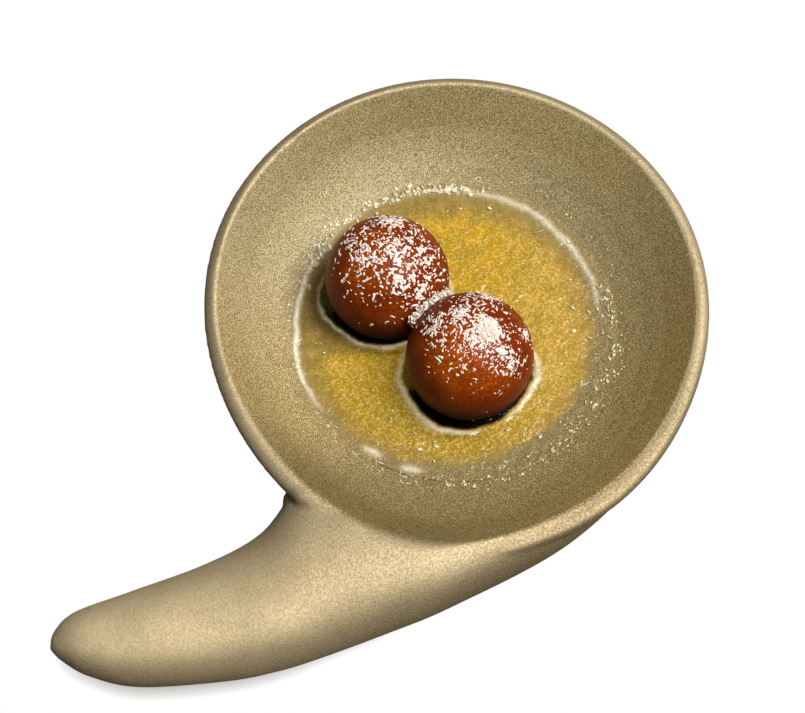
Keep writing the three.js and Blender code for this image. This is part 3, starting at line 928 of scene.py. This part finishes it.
def dough_material(mottle):
    f = Finish("syrup_soaked_dough")
    place = f.add("TexCoord").outputs["Object"]
    spots = f.group(mottle, vector=place, speck=1.0, cloud=6.0)
    glow, soak_and_shade = (f.add("Attribute", attribute_name=name).outputs["Fac"] for name in ("glow", "soak_and_shade"))
    # A painted glow: lighter orange about each ball's glow direction.
    body = f.mix(glow, paint(122, 42, 2), paint(196, 92, 4))
    clouded = f.mix(f.math("MULTIPLY", spots.outputs["Clouds"], 0.45), body, paint(92, 28, 2))
    specked = f.mix(f.math("MULTIPLY", spots.outputs["Specks"], 0.6), clouded, paint(60, 18, 2))
    # The foot of each ball painted near-black, partly dark with syrup and partly painted shade.
    soaked = f.mix(soak_and_shade, specked, paint(12, 6, 3))
    bump = f.add("Bump", {"Height": spots.outputs["Specks"], "Strength": 0.25, "Distance": 0.0003})
    return f.surface(
        base_color=soaked,
        roughness=f.add("MapRange", {0: soak_and_shade, 3: 0.4, 4: 0.95}).outputs[0],
        specular_ior_level=0.1,
        normal=bump.outputs[0],
    )


def coconut_material(mottle):
    f = Finish("grated_coconut")
    place = f.add("TexCoord").outputs["Object"]
    spots = f.group(mottle, vector=place, speck=0.8, cloud=3.0)
    body = f.mix(spots.outputs["Clouds"], paint(235, 229, 221), paint(212, 182, 158))
    bump = f.add("Bump", {"Height": spots.outputs["Specks"], "Strength": 0.3, "Distance": 0.0001})
    return f.surface(
        base_color=body,
        roughness=0.55,
        subsurface_weight=0.15,
        subsurface_radius=(0.001, 0.0009, 0.0007),
        normal=bump.outputs[0],
    )


def bead_material(mottle):
    f = Finish("clear_syrup_drops")
    place = f.add("TexCoord").outputs["Object"]
    spots = f.group(mottle, vector=place, speck=1.0, cloud=4.0)
    body = f.mix(spots.outputs["Clouds"], paint(146, 130, 92), paint(214, 205, 174))
    return f.surface(base_color=body, roughness=0.08, coat_weight=0.6, coat_roughness=0.03)


def table_material():
    """A white table glowing for the camera, with painted near shadows; it throws little light on the dish."""
    f = Finish("white_table")
    seen = f.add("LightPath").outputs["Is Camera Ray"]
    open_sky = f.add("AmbientOcclusion", {"Distance": 0.0056}, samples=16).outputs["AO"]
    glow = f.mix(open_sky, paint(112, 100, 74), (1, 1, 1, 1))
    return f.surface(
        base_color=f.mix(seen, paint(84, 82, 76), (0, 0, 0, 1)),
        roughness=1.0,
        specular_ior_level=0.0,
        emission_color=f.mix(seen, (0, 0, 0, 1), glow),
        emission_strength=1.0,
    )


# ---- Table, light and camera -------------------------------------------------------------------------------
CAMERA_ELEVATION = 66
CAMERA_DISTANCE = 700
CAMERA_TARGET = Vector((-16.71, -10.2, 10))
LENS = 100.17
KEY_PLACE = (1.45, -0.2, 2.95)  # in metres
KEY_SIZE = 1.5
KEY_POWER = 198
TO_KEY = Vector(KEY_PLACE).normalized()


def make_table():
    bm = bmesh.new()
    bmesh.ops.create_grid(bm, x_segments=1, y_segments=1, size=3)
    table = object_from(bm, "table_top")
    table.data.materials.append(table_material())


def softbox(name, place, size, power):
    """A square light at a place in metres that faces the food."""
    light = bpy.data.lights.new(name, "AREA")
    light.shape, light.size, light.energy = "SQUARE", size, power
    lamp = bpy.data.objects.new(name, light)
    lamp.location = place
    lamp.rotation_euler = (-Vector(place)).to_track_quat("-Z", "Y").to_euler()
    bpy.context.scene.collection.objects.link(lamp)


def make_studio():
    world = bpy.data.worlds.new("studio")
    bpy.context.scene.world = world
    world.use_nodes = True
    sky = world.node_tree.nodes["Background"]
    sky.inputs["Color"].default_value = (1, 1, 1, 1)
    room = Finish("studio", world.node_tree)
    up = room.add("SeparateXYZ", {0: room.add("TexCoord").outputs["Generated"]}).outputs["Z"]
    strength = room.add("MapRange", {0: up, 1: 0.1, 2: 1.0, 3: 0.02, 4: 0.24}).outputs[0]
    world.node_tree.links.new(strength, sky.inputs["Strength"])
    softbox("key_light", KEY_PLACE, KEY_SIZE, KEY_POWER)
    bpy.context.scene.view_settings.view_transform = "Standard"


def make_camera():
    elevation = math.radians(CAMERA_ELEVATION)
    back = Vector((0, -math.cos(elevation), math.sin(elevation)))
    camera = bpy.data.objects.new("camera", bpy.data.cameras.new("camera"))
    camera.data.lens, camera.data.sensor_width = LENS, 36
    camera.data.clip_start = 0.01
    camera.location = (CAMERA_TARGET + back * CAMERA_DISTANCE) * MM
    camera.rotation_euler = back.to_track_quat("Z", "Y").to_euler()
    bpy.context.scene.collection.objects.link(camera)
    bpy.context.scene.camera = camera


# ---- Everything together -----------------------------------------------------------------------------------
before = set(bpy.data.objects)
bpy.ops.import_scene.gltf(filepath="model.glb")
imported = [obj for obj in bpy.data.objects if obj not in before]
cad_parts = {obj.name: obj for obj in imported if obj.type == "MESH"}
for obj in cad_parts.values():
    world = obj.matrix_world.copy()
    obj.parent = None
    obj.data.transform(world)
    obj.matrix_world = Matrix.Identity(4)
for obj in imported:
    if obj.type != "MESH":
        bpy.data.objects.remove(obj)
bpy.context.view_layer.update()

mottle = mottle_group()
balls = [
    Ball("jamun_left", -21.4, 9.9, 19.2, 11, (-0.3, -0.2, 0.88), 0.7, LEFT_FROTH),
    Ball("jamun_right", 3.8, -17, 19.6, 29, (-0.24, -0.34, 0.9), 0.25, RIGHT_FROTH),
]
make_dish(glaze_material(mottle))
make_syrup(balls, syrup_material(mottle))
skin = dough_material(mottle)
make_ball(balls[0], balls[1], skin)
make_ball(balls[1], balls[0], skin)
make_coconut(balls, coconut_material(mottle))
make_beads(bead_material(mottle))
make_table()
make_studio()
make_camera()
